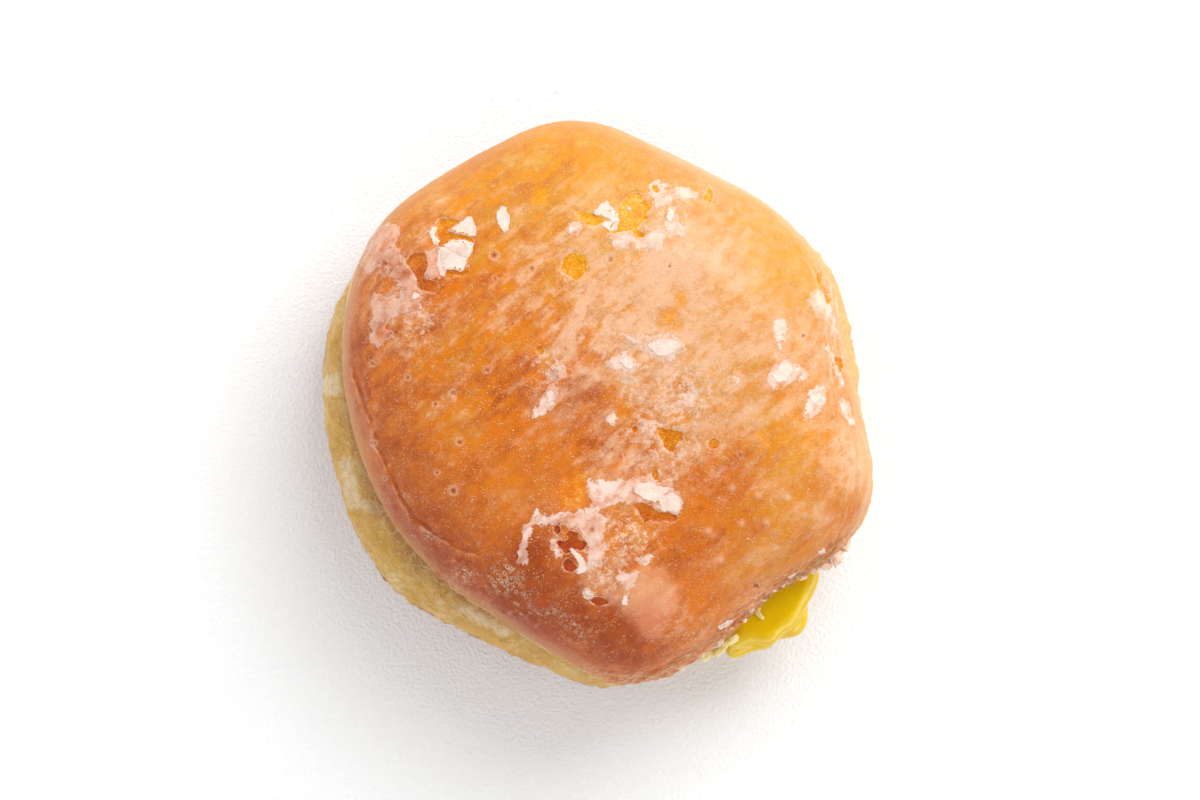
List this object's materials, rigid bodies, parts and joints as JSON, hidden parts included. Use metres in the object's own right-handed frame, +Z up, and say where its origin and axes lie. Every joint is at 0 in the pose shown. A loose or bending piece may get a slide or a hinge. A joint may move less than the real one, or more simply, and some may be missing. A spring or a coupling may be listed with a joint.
{
  "type": "filled doughnut",
  "caption": "Glazed round filled doughnut without a hole: browned dome and base, pale proof line, lemon filling oozing from a torn slit in its side.",
  "frame": {"origin": "on the resting face, under the middle of the bounding box", "axes": "+Z up through the crown; the slit with the filling faces the front right, between +X and -Y"},
  "size_m": [0.0884, 0.0906, 0.0423],
  "materials": {
    "dough": "fried yeast dough, browned dome and base with a pale proof line, under a thin sugar glaze",
    "glaze": "cloudy set sugar glaze, glossy, with small pits and dried white flakes",
    "lemon_filling": "smooth wet lemon filling"
  },
  "bodies": {
    "root": {"dough": "dough", "lemon_filling": "lemon_filling"}
  },
  "joints": []
}
